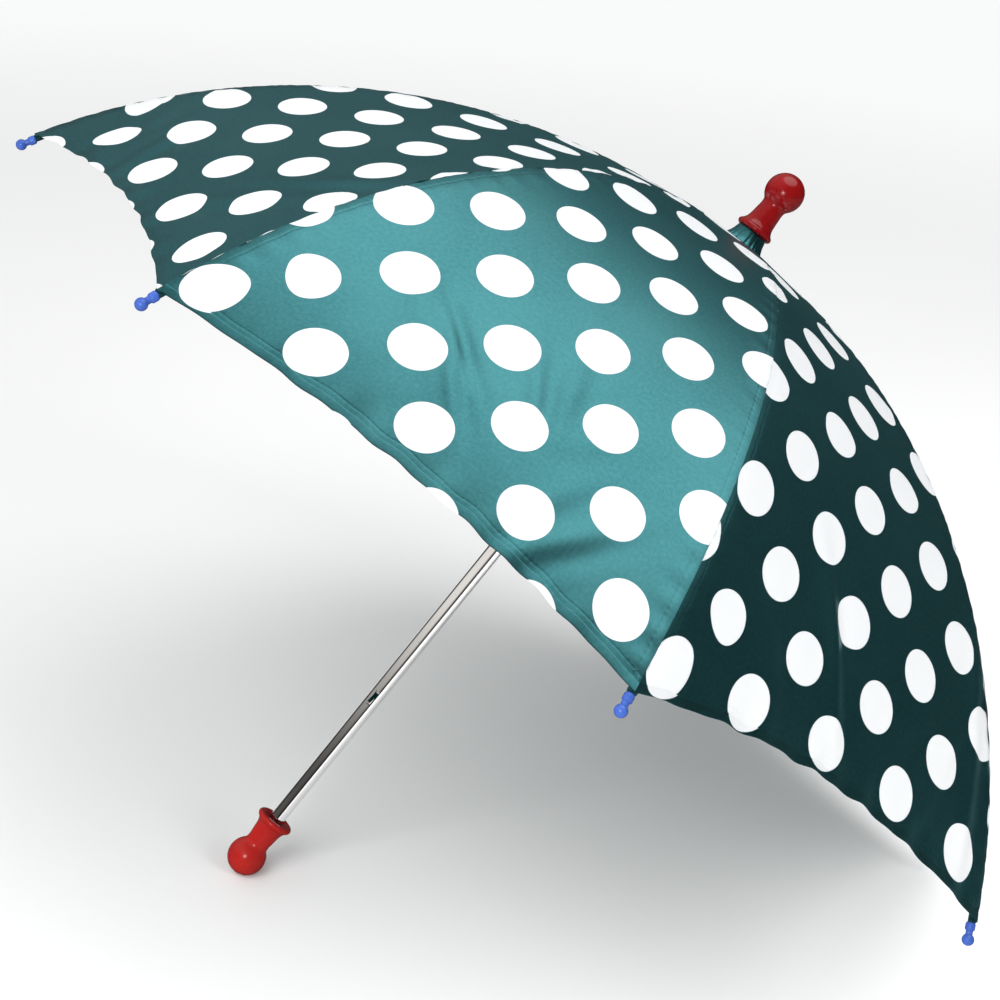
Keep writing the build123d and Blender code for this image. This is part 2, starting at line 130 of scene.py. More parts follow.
# ---------------------------------------------------------------- node helpers
class Nodes:
    """The nodes of a new material, or of a given world, with short calls to add and link them."""

    def __init__(self, name, world=None):
        self.owner = world or bpy.data.materials.new(name)
        self.owner.use_nodes = True
        self.tree = self.owner.node_tree
        self.shader = self.tree.nodes.get("Principled BSDF")
        self.output = self.tree.nodes.get("World Output" if world else "Material Output")

    def add(self, kind, **settings):
        node = self.tree.nodes.new(kind)
        for key, value in settings.items():
            setattr(node, key, value)
        return node

    def join(self, source, target):
        self.tree.links.new(source, target)

    def feed(self, target, value):
        """Link a socket, or set a plain value."""
        if isinstance(value, bpy.types.NodeSocket):
            self.join(value, target)
        else:
            target.default_value = value

    def math(self, operation, *values):
        node = self.add("ShaderNodeMath", operation=operation)
        for socket, value in zip(node.inputs, values):
            self.feed(socket, value)
        return node.outputs[0]

    def vector(self, operation, *values):
        node = self.add("ShaderNodeVectorMath", operation=operation)
        for socket, value in zip(node.inputs, values):
            self.feed(socket, value)
        return node

    def noise(self, vector, scale, detail=2.0, roughness=0.5):
        node = self.add("ShaderNodeTexNoise")
        self.feed(node.inputs["Vector"], vector)
        node.inputs["Scale"].default_value = scale
        node.inputs["Detail"].default_value = detail
        node.inputs["Roughness"].default_value = roughness
        return node.outputs["Fac"]

    def stretched(self, vector, *scales):
        return self.vector("MULTIPLY", vector, scales).outputs[0]

    def mix(self, factor, first, second):
        node = self.add("ShaderNodeMix", data_type="RGBA")
        self.feed(node.inputs["Factor"], factor)
        self.feed(node.inputs["A"], first)
        self.feed(node.inputs["B"], second)
        return node.outputs["Result"]

    def mix_shaders(self, factor, first, second):
        node = self.add("ShaderNodeMixShader")
        for socket, value in zip(node.inputs, (factor, first, second)):
            self.feed(socket, value)
        return node.outputs[0]

    def remap(self, value, low, high, to_low=0.0, to_high=1.0):
        node = self.add("ShaderNodeMapRange", interpolation_type="SMOOTHSTEP")
        for socket, number in zip(node.inputs, (value, low, high, to_low, to_high)):
            self.feed(socket, number)
        return node.outputs[0]

    def bump(self, height, strength, distance, normal=None):
        node = self.add("ShaderNodeBump")
        node.inputs["Strength"].default_value = strength
        node.inputs["Distance"].default_value = distance
        self.feed(node.inputs["Height"], height)
        if normal is not None:
            self.join(normal, node.inputs["Normal"])
        return node.outputs["Normal"]

    def object_point(self):
        return self.add("ShaderNodeTexCoord").outputs["Object"]

    def backfacing(self):
        return self.add("ShaderNodeNewGeometry").outputs["Backfacing"]

    def uv_map(self, name):
        return self.add("ShaderNodeUVMap", uv_map=name).outputs[0]

    def split(self, vector):
        node = self.add("ShaderNodeSeparateXYZ")
        self.join(vector, node.inputs[0])
        return node.outputs

    def set(self, **values):
        """Set Principled inputs by name, with _ for spaces."""
        for key, value in values.items():
            self.feed(self.shader.inputs[key.replace("_", " ")], value)


def colour(red, green, blue):
    return (red, green, blue, 1.0)


def grey(level):
    return colour(level, level, level)


# ---------------------------------------------------------------- materials
TEAL_DARK = colour(0.050, 0.225, 0.250)
TEAL_LIGHT = colour(0.070, 0.275, 0.300)
TEAL_SLUB = colour(0.12, 0.42, 0.45)
TEAL_MOTTLE = colour(0.13, 0.40, 0.42)
TEAL_INSIDE = colour(0.012, 0.060, 0.070)
TEAL_GLOW = colour(0.02, 0.22, 0.25)
WHITE_BODY = colour(0.90, 0.91, 0.92)
WHITE_SLUB = colour(0.74, 0.77, 0.79)
WHITE_INSIDE = colour(0.55, 0.62, 0.64)
WHITE_GLOW = colour(0.85, 0.87, 0.88)


def dot_mask(nodes, place):
    """1 inside the printed dots: two equal lattices, one shifted by half a cell each way."""
    cell = (DOT_COLUMN, DOT_ROW / 2, 1)
    masks = []
    for shift_column, shift_row in ((0.0, 0.0), (DOT_COLUMN, DOT_ROW / 2)):
        origin = (DOT_ORIGIN[0] + shift_column, DOT_ORIGIN[1] + shift_row, 0)
        local = nodes.vector("SUBTRACT", place, origin).outputs[0]
        wrapped = nodes.vector("WRAP", local, cell, tuple(-size for size in cell)).outputs[0]
        distance = nodes.vector("LENGTH", wrapped).outputs["Value"]
        masks.append(nodes.remap(distance, DOT_RADIUS + DOT_BLUR, DOT_RADIUS - DOT_BLUR))
    return nodes.math("MAXIMUM", *masks)


def stitch_height(nodes):
    """Relief of the stitch lines beside the seams and along the hem, which pull the cloth down."""
    to_seam, to_hem, _ = nodes.split(nodes.uv_map("edges"))
    across, along, _ = nodes.split(nodes.uv_map("cloth"))
    heights = []
    for distance, run, line in (
        (to_seam, along, SEAM_STITCH_INSET),
        (to_hem, across, HEM_STITCH_INSET),
    ):
        off = nodes.math("ABSOLUTE", nodes.math("SUBTRACT", distance, line))
        groove = nodes.remap(off, 0.0, 0.9 * MM)
        stitches = nodes.math("SINE", nodes.math("MULTIPLY", run, 2 * pi / STITCH_PITCH))
        near = nodes.remap(off, 2.2 * MM, 0.2 * MM, 0.0, 0.35)
        heights.append(nodes.math("ADD", groove, nodes.math("MULTIPLY", stitches, near)))
    return nodes.math("MINIMUM", *heights)


def cloth_colours(nodes, place, mask):
    """Teal and white of the print, each darker on the unprinted inner side."""
    slub = nodes.noise(nodes.stretched(place, 900, 5200, 1), 1.0, 1.0)
    cloud = nodes.noise(place, 14.0, 3.0)
    mottle = nodes.noise(place, 620.0, 3.0, 0.7)
    teal = nodes.mix(nodes.remap(cloud, 0.35, 0.65), TEAL_DARK, TEAL_LIGHT)
    teal = nodes.mix(nodes.math("MULTIPLY", slub, 0.35), teal, TEAL_SLUB)
    teal = nodes.mix(nodes.remap(mottle, 0.30, 0.75, 0.0, 0.45), teal, TEAL_MOTTLE)
    white = nodes.mix(nodes.math("MULTIPLY", slub, 0.12), WHITE_BODY, WHITE_SLUB)
    back = nodes.backfacing()
    return nodes.mix(
        mask, nodes.mix(back, teal, TEAL_INSIDE), nodes.mix(back, white, WHITE_INSIDE)
    )


def cloth_material(name, dots=True):
    """Printed polyester satin: its teal shines like metal thread, its dots are matt white ink."""
    nodes = Nodes(name)
    place = nodes.uv_map("cloth")
    mask = dot_mask(nodes, place) if dots else 0.0
    weave = nodes.add("ShaderNodeTexWave", wave_type="BANDS", bands_direction="DIAGONAL")
    weave.inputs["Scale"].default_value = 1500
    weave.inputs["Distortion"].default_value = 0.6
    nodes.join(place, weave.inputs["Vector"])
    relief = nodes.bump(weave.outputs["Fac"], 0.10, 0.05 * MM)
    relief = nodes.bump(nodes.noise(place, 160.0, 4.0, 0.6), 0.22, 0.35 * MM, relief)
    if dots:
        relief = nodes.bump(stitch_height(nodes), 0.22, 0.25 * MM, relief)
    nodes.set(
        Base_Color=cloth_colours(nodes, place, mask),
        Metallic=nodes.math("MULTIPLY", nodes.math("SUBTRACT", 1.0, mask), 0.97),
        Roughness=nodes.mix(mask, grey(0.40), grey(0.60)),
        Normal=relief,
        Sheen_Weight=0.02,
        Sheen_Roughness=0.5,
        Sheen_Tint=colour(0.45, 0.75, 0.78),
    )
    glow = nodes.add("ShaderNodeBsdfTranslucent")
    nodes.join(nodes.mix(mask, TEAL_GLOW, WHITE_GLOW), glow.inputs["Color"])
    share = nodes.math("ADD", 0.035, nodes.math("MULTIPLY", mask, 0.145))
    surface = nodes.mix_shaders(share, nodes.shader.outputs[0], glow.outputs[0])
    nodes.join(surface, nodes.output.inputs["Surface"])
    return nodes.owner


def plastic_material(name, body, deep, roughness, flow_scale):
    """Glossy moulded plastic with slight colour depth, flow marks and handling scuffs."""
    nodes = Nodes(name)
    point = nodes.object_point()
    depth = nodes.remap(nodes.noise(point, flow_scale, 2.0), 0.3, 0.7)
    scuffs = nodes.remap(nodes.noise(point, 900.0, 3.0, 0.65), 0.52, 0.75)
    ripple = nodes.noise(point, 260.0, 1.0)
    nodes.set(
        Base_Color=nodes.mix(depth, deep, body),
        Roughness=nodes.math("ADD", roughness, nodes.math("MULTIPLY", scuffs, 0.07)),
        Normal=nodes.bump(ripple, 0.03, 0.1 * MM),
        Coat_Weight=0.25,
        Coat_Roughness=0.15,
        Subsurface_Weight=0.06,
        Subsurface_Radius=(4 * MM, 1 * MM, 1 * MM),
    )
    return nodes.owner


def metal_material(name, body, roughness, streak, spots=0.0):
    """Drawn or plated metal with streaks along its length and optional dull spots."""
    nodes = Nodes(name)
    point = nodes.object_point()
    lines = nodes.noise(nodes.stretched(point, 1, 1, 0.04), 1400.0, 2.0)
    dull = nodes.remap(nodes.noise(point, 320.0, 4.0, 0.7), 0.58, 0.72, 0.0, spots)
    rough = nodes.math("ADD", roughness, nodes.math("MULTIPLY", lines, streak))
    nodes.set(
        Base_Color=nodes.mix(dull, body, colour(0.30, 0.27, 0.24)),
        Metallic=1.0,
        Roughness=nodes.math("ADD", rough, dull),
        Normal=nodes.bump(lines, 1.2 * streak, 0.04 * MM),
    )
    return nodes.owner


def chrome_material(name):
    """Mirror chrome on drawn metal: faint draw lines, a long slow waviness and small dull pits."""
    nodes = Nodes(name)
    point = nodes.object_point()
    lines = nodes.noise(nodes.stretched(point, 1, 1, 0.02), 1100.0, 2.0)
    waves = nodes.noise(nodes.stretched(point, 1, 1, 0.3), 90.0, 1.0)
    pits = nodes.remap(nodes.noise(point, 700.0, 3.0, 0.7), 0.66, 0.74)
    nodes.set(
        Base_Color=nodes.mix(pits, colour(0.78, 0.77, 0.77), colour(0.42, 0.39, 0.36)),
        Metallic=1.0,
        Roughness=0.0,
        Normal=nodes.bump(lines, 0.10, 0.03 * MM, nodes.bump(waves, 0.05, 0.3 * MM)),
    )
    return nodes.owner


def matte_plastic_material(name, body):
    """Satin moulded nylon with a fine spark-eroded grain."""
    nodes = Nodes(name)
    point = nodes.object_point()
    grain = nodes.noise(point, 2600.0, 2.0)
    darker = colour(*(0.82 * part for part in body[:3]))
    tone = nodes.mix(nodes.noise(point, 120.0), body, darker)
    nodes.set(Base_Color=tone, Roughness=0.42, Normal=nodes.bump(grain, 0.15, 0.05 * MM))
    return nodes.owner


def floor_material():
    """Pale paper that fades into the backdrop and shows only its upper side; in rough reflections it is painted
    dark grey, a painted shade for the satin to mirror.
    """
    nodes = Nodes("studio_paper")
    point = nodes.object_point()
    paper = nodes.mix(
        nodes.noise(point, 2.5, 3.0), colour(0.83, 0.83, 0.822), colour(0.87, 0.87, 0.862)
    )
    path = nodes.add("ShaderNodeLightPath").outputs
    # Painted shade: rough glossy rays see the paper as dark grey, so the satin mirrors a darker floor than the
    # lamps light.
    shade_in_reflections = nodes.math("SUBTRACT", path["Is Glossy Ray"], path["Is Singular Ray"])
    nodes.set(
        Base_Color=nodes.mix(nodes.math("MAXIMUM", shade_in_reflections, 0.0), paper, grey(0.09)),
        Roughness=0.75,
        Normal=nodes.bump(nodes.noise(point, 700.0, 3.0), 0.05, 0.2 * MM),
    )
    away = nodes.vector("LENGTH", point).outputs["Value"]
    hidden = nodes.math("MAXIMUM", nodes.backfacing(), nodes.remap(away, *FLOOR_FADE))
    clear = nodes.add("ShaderNodeBsdfTransparent").outputs[0]
    surface = nodes.mix_shaders(hidden, nodes.shader.outputs[0], clear)
    nodes.join(surface, nodes.output.inputs["Surface"])
    return nodes.owner


CLOTH = cloth_material("canopy_satin")
PLAIN_CLOTH = cloth_material("canopy_satin_plain", dots=False)
RED = plastic_material(
    "red_gloss", colour(0.26, 0.002, 0.003), colour(0.20, 0.001, 0.002), 0.20, 45.0
)
# Painted light: the handle knob gets a brighter, more orange copy of the knob red, standing for the light and glow
# on it.
HANDLE_RED_PAINTED_LIT = plastic_material(
    "handle_red_painted_lit_gloss", colour(0.43, 0.013, 0.009), colour(0.35, 0.009, 0.007), 0.22, 45.0
)
BLUE = plastic_material(
    "blue_gloss", colour(0.050, 0.120, 0.46), colour(0.035, 0.085, 0.36), 0.26, 160.0
)
CHROME = chrome_material("tube_chrome")
STEEL = metal_material("rib_zinc", colour(0.56, 0.57, 0.59), 0.30, 0.14, 0.16)
SPRING = chrome_material("catch_steel")
WIRE = metal_material("wire_steel", colour(0.58, 0.58, 0.60), 0.22, 0.08, 0.08)
NYLON = matte_plastic_material("hub_nylon", colour(0.62, 0.63, 0.64))

SLOT_MATERIALS = {
    "knob_plastic": RED,
    "tip_plastic": BLUE,
    "tube_chrome": CHROME,
    "rib_steel": STEEL,
    "catch_steel": SPRING,
    "wire_steel": WIRE,
    "hub_plastic": NYLON,
}


def paint_cad_nodes():
    """Give every carried-over CAD node the material of its slot."""
    for subpart in frame["record"]["subparts"]:
        material = SLOT_MATERIALS.get(subpart["material_slot"])
        if material is None:
            continue
        # Painted light: the handle knob takes the brighter copy of the knob red.
        if subpart["node"] == "handle_knob":
            material = HANDLE_RED_PAINTED_LIT
        mesh = frame["nodes"][subpart["node"]].data
        mesh.materials.clear()
        mesh.materials.append(material)


def is_inner(angle):
    """Whether a band that starts at a dome angle lies between the crown and the rivets."""
    return angle < RIVET_ANGLE - 1e-6


def arc_along(angle):
    """Length of cloth from the apex to a dome angle along a panel's middle."""
    steps = np.linspace(0, 1, 60)[None, :] * np.asarray(angle)[..., None]
    speed = DOME_RADIUS * np.hypot(np.cos(steps) * cos(HALF), np.sin(steps))
    return speed.mean(-1) * np.asarray(angle)


def bell(value, width):
    return np.exp(-((value / width) ** 2))


def unit(vectors):
    return vectors / np.linalg.norm(vectors, axis=-1, keepdims=True)


def ramp(value, start, run):
    """0 before start, 1 after start + run, straight between."""
    return np.clip((value - start) / run, 0, 1)


def fold(across, along, centre, heading, length, width, height):
    """One soft crease: a ridge with a shallow furrow at its side."""
    run = (along - centre[1]) * cos(heading) + (across - centre[0]) * sin(heading)
    side = (across - centre[0]) * cos(heading) - (along - centre[1]) * sin(heading)
    ridge = bell(side, width) - 0.7 * bell(side - 1.9 * width, width)
    return height * ridge * bell(run, length)


# Creases of the front panels, in mm: centre (across, along), heading, run, width, height
PANEL_FOLDS = {
    1: (((-40, 300), 0.5, 28, 5.0, 0.8),),
    2: (
        ((-14, 292), 0.75, 20, 3.0, 0.9),
        ((-20, 281), 0.95, 22, 2.6, 0.8),
        ((12, 272), 0.55, 20, 3.2, 0.8),
        ((22, 262), 0.35, 26, 4.0, 0.6),
        ((60, 315), -0.55, 26, 4.5, 0.7),
    ),
    3: (
        ((-14, 285), 0.35, 30, 4.0, 1.3),
        ((88, 290), 0.10, 60, 4.5, 1.2),
    ),
}


def cloth_relief(panel, across, along, edge, hem):
    """Height of the cloth above the plain panel: sag, puckers, hem waves and creases."""
    rng = np.random.default_rng(40 + panel)
    relief = -PANEL_SAG * (1 - edge**2) * (along / along.max()) ** 2

    to_seam = (1 - np.abs(edge)) * DOME_RADIUS * np.sin(along / DOME_RADIUS) * sin(HALF)
    drift = 2.2 * np.sin(along / (23 * MM) + panel) + np.sign(edge) * 1.3
    beat = 2 * pi * along / PUCKER_PITCH + drift
    relief += PUCKER_HEIGHT * np.sin(beat) * bell(to_seam - 3 * MM, 6 * MM)

    phase = rng.uniform(0, 2 * pi, 3)
    wave = np.sin(2 * pi * across / HEM_WAVES[0] + phase[0])
    wave = wave + 0.7 * np.sin(2 * pi * across / HEM_WAVES[1] + phase[1])
    relief += HEM_WAVE_HEIGHT * wave * bell(hem, 10 * MM) * (1 - edge**6)

    for side in (-1, 1):
        for _ in range(SIDE_CREASES):
            start = (side * rng.uniform(25, 75) * MM, rng.uniform(235, 315) * MM)
            heading = side * rng.uniform(-0.9, -0.3)
            run = rng.uniform(18, 38) * MM
            width = rng.uniform(3.5, 7) * MM
            height = rng.uniform(0.25, 0.6) * MM
            relief += fold(across, along, start, heading, run, width, height)
    for place, heading, run, width, height in PANEL_FOLDS.get(panel, ()):
        centre = (place[0] * MM, place[1] * MM)
        relief += fold(across, along, centre, heading, run * MM, width * MM, height * MM)
    return relief * ramp(along, 0, 60 * MM)


class Panel:
    """One panel's cloth as a grid: rows from the crown to the hem, columns across."""

    def __init__(self, number):
        self.number = number
        splits = [RIVET_ANGLE if split is None else radians(split) for split in BAND_SPLITS_DEG]
        crown = CANOPY_HOLE_RADIUS / DOME_RADIUS
        self.bounds = [crown] + splits + [DOME_HALF_ANGLE]
        self.edge = np.linspace(-1, 1, 2 * COLUMNS_PER_HALF + 1)
        rows, columns = np.meshgrid(self.row_angles(), self.edge, indexing="ij")
        progress = (rows - crown) / (DOME_HALF_ANGLE - crown)
        angle = rows - self.hem_lift(columns) * progress**3
        angle = angle - self.hem_ripple(columns) * progress**8

        self.across = columns * DOME_RADIUS * np.sin(angle) * sin(HALF)
        self.along = arc_along(angle)
        self.to_hem = self.along[-1][None, :] - self.along
        self.to_seam = (1 - np.abs(columns)) * DOME_RADIUS * np.sin(angle) * sin(HALF)
        out = DOME_RADIUS * np.sin(angle) * cos(HALF)
        height = DOME_CENTRE + DOME_RADIUS * np.cos(angle)
        plain = np.stack([out, self.across, height], -1)
        relief = cloth_relief(number, self.across, self.along, columns, self.to_hem)
        shaped = plain + self.normals(plain) * relief[..., None]

        middle = (number - 1) * PITCH + HALF
        turn = np.array(Matrix.Rotation(middle, 3, "Z"))
        self.points = shaped @ turn.T
        self.normal = self.rounded_normals(self.normals(shaped) @ turn.T)
        self.edge_uv = np.stack([self.to_seam, self.to_hem], -1)
        self.uv = self.print_uv()

    def row_angles(self):
        angles = []
        for low, high in zip(self.bounds[:-1], self.bounds[1:]):
            angles.extend(np.linspace(low, high, ROWS_PER_BAND, endpoint=False))
        return np.array(angles + [DOME_HALF_ANGLE])

    def hem_lift(self, columns):
        """Dome angle by which the hem rises between the ribs."""
        return LOW_HEM_RISE.get(self.number, HEM_RISE) / DOME_RADIUS * (1 - columns**2)

    def hem_ripple(self, columns):
        """Dome angle of the small uneven waves of the hem's edge."""
        slow = np.sin(2 * pi * columns * 3.6 + self.number)
        quick = 0.6 * np.sin(2 * pi * columns * 6.3 + 2 * self.number)
        return HEM_RIPPLE / DOME_RADIUS * (slow + quick) * (1 - columns**4)

    @staticmethod
    def normals(points):
        down = np.gradient(points, axis=0)
        side = np.gradient(points, axis=1)
        return unit(np.cross(down, side))

    def rounded_normals(self, normal):
        """Cloth rolls over the rib in a soft curve, wider on the later panel's side of the seam."""
        dome_up = unit(self.points - np.array([0, 0, DOME_CENTRE]))
        half_width = np.max(self.to_seam, axis=1, keepdims=True)
        narrow = np.minimum(1, half_width / SEAM_ROLL_NARROWS)
        reach = np.where(self.edge < 0, *SEAM_ROLL_REACH) * narrow
        strength = np.where(self.edge < 0, *SEAM_ROLL_STRENGTH)[None, :, None]
        share = bell(self.to_seam, reach)[..., None] * strength
        return unit(normal * (1 - share) + dome_up * share)

    def print_uv(self):
        """Place of the cloth on its printed fabric, which was pulled a little out of square."""
        across, along, edge = self.across, self.along, self.edge
        if self.number == 1:
            sideways = -3 * MM - (60 * MM - across) ** 2 + 0.07 * (along - 250 * MM)
            down = (12 * np.clip(edge, 0, 1) ** 2 * (along / PRINT_LENGTH) ** 2 - 3) * MM
            corner = ramp(-edge, 0.60, 0.15) * ramp(along, 285 * MM, 15 * MM)
            pull = (9 * MM, 6 * MM)
        else:
            shoulder = ramp(along, 165 * MM, 100 * MM)
            brim = ramp(along, 280 * MM, 40 * MM)
            down = (6 * shoulder**2 * (3 - 2 * shoulder) - 4 - 1.5 * brim) * MM
            down = down + (15 * edge**2 - 4 * edge) * MM * (along / PRINT_LENGTH) ** 3
            sideways = np.zeros_like(along)
            if self.number == 3:
                bow = np.clip(300 * MM - along, 0, None) ** 2
                sideways = np.minimum(14 * MM, -1.5 * MM + bow)
            corner = ramp(-edge, 0.70, 0.15) * ramp(along, 290 * MM, 20 * MM)
            pull = (4.5 * MM, -3.5 * MM)
        sideways = sideways + pull[0] * corner
        down = down + pull[1] * corner
        return np.stack([across - sideways, along - down], -1)


# ---------------------------------------------------------------- canopy pieces
def link_mesh(name, points, faces, material, uv=None, normals=None, edge_uv=None):
    """Mesh object with smooth faces, optional cloth UV maps and given vertex normals."""
    mesh = bpy.data.meshes.new(name)
    mesh.from_pydata([tuple(point) for point in points], [], faces)
    mesh.materials.append(material)
    mesh.polygons.foreach_set("use_smooth", [True] * len(mesh.polygons))
    corners = np.zeros(len(mesh.loops), np.int32)
    mesh.loops.foreach_get("vertex_index", corners)
    for layer_name, places in (("cloth", uv), ("edges", edge_uv)):
        if places is not None:
            layer = mesh.uv_layers.new(name=layer_name)
            layer.data.foreach_set("uv", np.asarray(places, np.float32)[corners].ravel())
    if normals is not None:
        mesh.normals_split_custom_set_from_vertices([tuple(normal) for normal in normals])
    mesh.update()
    item = bpy.data.objects.new(name, mesh)
    bpy.context.scene.collection.objects.link(item)
    return item


def grid_faces(rows, columns):
    faces = []
    for row in range(rows - 1):
        for column in range(columns - 1):
            corner = row * columns + column
            faces.append((corner, corner + columns, corner + columns + 1, corner + 1))
    return faces


def ring_faces(rings, around):
    """Faces between rings of points that each close on themselves."""
    faces = []
    for ring in range(rings - 1):
        for step in range(around):
            a, b = ring * around + step, ring * around + (step + 1) % around
            faces.append((a, b, b + around, a + around))
    return faces


def rib_axes(rib):
    """Outward and sideways directions of a rib."""
    azimuth = (rib - 1) * PITCH
    outward = np.array([cos(azimuth), sin(azimuth), 0])
    sideways = np.array([-sin(azimuth), cos(azimuth), 0])
    return outward, sideways


def seam_point(rib, angle, radius=DOME_RADIUS):
    outward, _ = rib_axes(rib)
    return outward * radius * sin(angle) + np.array([0, 0, DOME_CENTRE + radius * cos(angle)])


def flatten_to_rib(item):
    """Give a strip of cloth a mesh of its own."""
    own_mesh(item)


def body_at(rib, angle):
    """CAD body that carries the cloth below a dome angle."""
    return f"rib_{rib}" if is_inner(angle) else f"rib_end_{rib}"


def build_panel(number):
    """One panel as strips of cloth: two halves, each cut into bands that share their edges."""
    panel = Panel(number)
    next_rib = number % RIB_COUNT + 1
    middle = COLUMNS_PER_HALF
    for half, rib, side, columns in (
        ("a", number, 1, slice(0, middle + 1)),
        ("b", next_rib, -1, slice(middle, None)),
    ):
        for band, (low, high) in enumerate(zip(panel.bounds[:-1], panel.bounds[1:])):
            start = band * ROWS_PER_BAND
            part = (slice(start, start + ROWS_PER_BAND + 1), columns)
            rows, width = panel.points[part].shape[:2]
            item = link_mesh(
                f"canopy_{number}{half}_band_{band + 1}",
                panel.points[part].reshape(-1, 3),
                grid_faces(rows, width),
                CLOTH,
                panel.uv[part].reshape(-1, 2),
                panel.normal[part].reshape(-1, 3),
                panel.edge_uv[part].reshape(-1, 2),
            )
            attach(item, body_at(rib, low))
            flatten_to_rib(item)
            if band == 0 and half == "a":
                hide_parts(f"canopy_panel_{number}")
        build_hem(panel, half, rib, columns)


def squarer(value, power):
    """Pushes a circle's coordinate out towards a rounded rectangle; power 1 keeps the circle."""
    return float(np.sign(value)) * abs(value) ** power


class Roll:
    """A flattened roll of cloth along a line, with a rounded top and underside."""

    AROUND = 16

    def __init__(self, line, across, up, width, height, power=1.0):
        """Places, side and up directions, and widths and heights, one for each ring."""
        turns = [step * 2 * pi / self.AROUND for step in range(self.AROUND)]
        section = [(squarer(cos(turn), power), squarer(sin(turn), power)) for turn in turns]
        self.reach = np.array([x for x, _ in section])[None, :, None] * width[:, None, None] / 2
        lift = np.array([y for _, y in section])[None, :, None] * height[:, None, None] / 2
        rings = line[:, None] + across[:, None] * self.reach + up[:, None] * lift
        self.points = rings.reshape(-1, 3)
        self.faces = ring_faces(len(line), self.AROUND)
        self.turned_in = np.cross(line[1] - line[0], across[0]).dot(up[0]) < 0

    def cap(self):
        """Close both ends."""
        last = len(self.points) - self.AROUND
        self.faces.append(tuple(range(self.AROUND))[::-1])
        self.faces.append(tuple(last + step for step in range(self.AROUND)))

    def link(self, name, material, uv_line, uv_across):
        """Mesh object whose cloth UV runs along uv_line and spreads by uv_across."""
        uv = uv_line[:, None] + uv_across[:, None] * self.reach
        faces = [face[::-1] for face in self.faces] if self.turned_in else self.faces
        return link_mesh(name, self.points, faces, material, uv.reshape(-1, 2))


def build_hem(panel, half, rib, columns):
    """Rolled and stitched hem along half of a panel's lower edge."""
    edge = panel.points[-1, columns]
    inward = unit(panel.points[-3, columns] - edge)
    even = np.ones(len(edge))
    roll = Roll(
        edge + inward * HEM_INSET,
        inward,
        panel.normal[-1, columns],
        HEM_WIDTH * even,
        HEM_HEIGHT * even,
        power=0.5,
    )
    uv_in = np.tile([0.0, -1.0], (len(edge), 1))
    uv_line = panel.uv[-1, columns] + uv_in * HEM_INSET
    item = roll.link(f"hem_{panel.number}{half}", CLOTH, uv_line, uv_in)
    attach(item, body_at(rib, DOME_HALF_ANGLE))
    flatten_to_rib(item)


def build_corner(rib):
    """Sewn cloth pocket that closes round the end of a rib."""
    outward, sideways = rib_axes(rib)
    share = np.linspace(0, 1, POCKET_RINGS)
    angles = DOME_HALF_ANGLE + (share * POCKET_LENGTH + POCKET_START) / DOME_RADIUS
    width, height = (
        first + (last - first) * share for first, last in (POCKET_WIDTH, POCKET_HEIGHT)
    )
    width[-2:] *= POCKET_TAPER
    height[-2:] *= POCKET_TAPER
    pocket = Roll(
        np.array([seam_point(rib, angle, DOME_RADIUS - POCKET_DEPTH) for angle in angles]),
        np.tile(sideways, (POCKET_RINGS, 1)),
        np.array([outward * sin(angle) + [0, 0, cos(angle)] for angle in angles]),
        width,
        height,
    )
    pocket.cap()
    uv_line = np.stack([np.full(POCKET_RINGS, 13 * MM), 290 * MM + share * 6 * MM], -1)
    uv_across = np.tile([1.0, 0.0], (POCKET_RINGS, 1))
    item = pocket.link(f"corner_{rib}", PLAIN_CLOTH, uv_line, uv_across)
    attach(item, f"rib_end_{rib}")


def build_rosette():
    """Gathered cloth collar that rises from the crown of the canopy into the finial."""
    low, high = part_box("rosette")
    outer, inner = high.x * 0.96, high.x * 0.60
    foot = low.z - ROSETTE_DIP
    points, uvs = [], []
    for ring in range(ROSETTE_RINGS):
        share = ring / (ROSETTE_RINGS - 1)
        radius = outer + (inner - outer) * share**0.6
        height = foot + (high.z - foot) * share**1.7
        depth = ROSETTE_GATHER * (0.35 + 0.65 * sin(pi * min(1, share + 0.25)))
        for step in range(ROSETTE_AROUND):
            angle = 2 * pi * step / ROSETTE_AROUND
            gather = sin(22 * angle + 0.8 * sin(3 * angle)) + 0.5 * sin(35 * angle + 1.0)
            reach = radius + depth * gather
            points.append((reach * cos(angle), reach * sin(angle), height))
            uvs.append((angle * radius, share * 9 * MM))
    faces = ring_faces(ROSETTE_RINGS, ROSETTE_AROUND)
    item = link_mesh("rosette_gathers", points, faces, PLAIN_CLOTH, uvs)
    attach(item, "shaft")
    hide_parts("rosette")


# ---------------------------------------------------------------- studio
CAMERA_PLACE = Vector((0.2146, 0.9093, 0.3115))
CAMERA_AIM = Vector((0.0153, 0.0039, 0.2377))
CAMERA_ROLL = radians(39.0)
CAMERA_LENS = 66.7
CAMERA_SHIFT = (-0.002, -0.003)
FLOOR_RIBS = (5, 6)
FLOOR_HALF_SIDE = 3.0
TARGET_HEIGHT = 0.2  # of the lights' aim above the floor
BACKDROP = (0.95, 0.955, 0.955)

# Name, place from the target (right, toward the camera, up), disc size, power
LIGHTS = (
    ("top", (0.75, -0.1, 1.7), 1.9, 11.6),
    ("fill", (-0.7, 1.0, 1.0), 1.4, 19.0),
    ("floor_lift", (1.0, 1.0, 0.7), 0.9, 16.0),
    ("sparkle", (-0.25, 1.0, 0.45), 0.32, 2.2),
)
REFLECTED_LIGHTS = ("top", "sparkle")


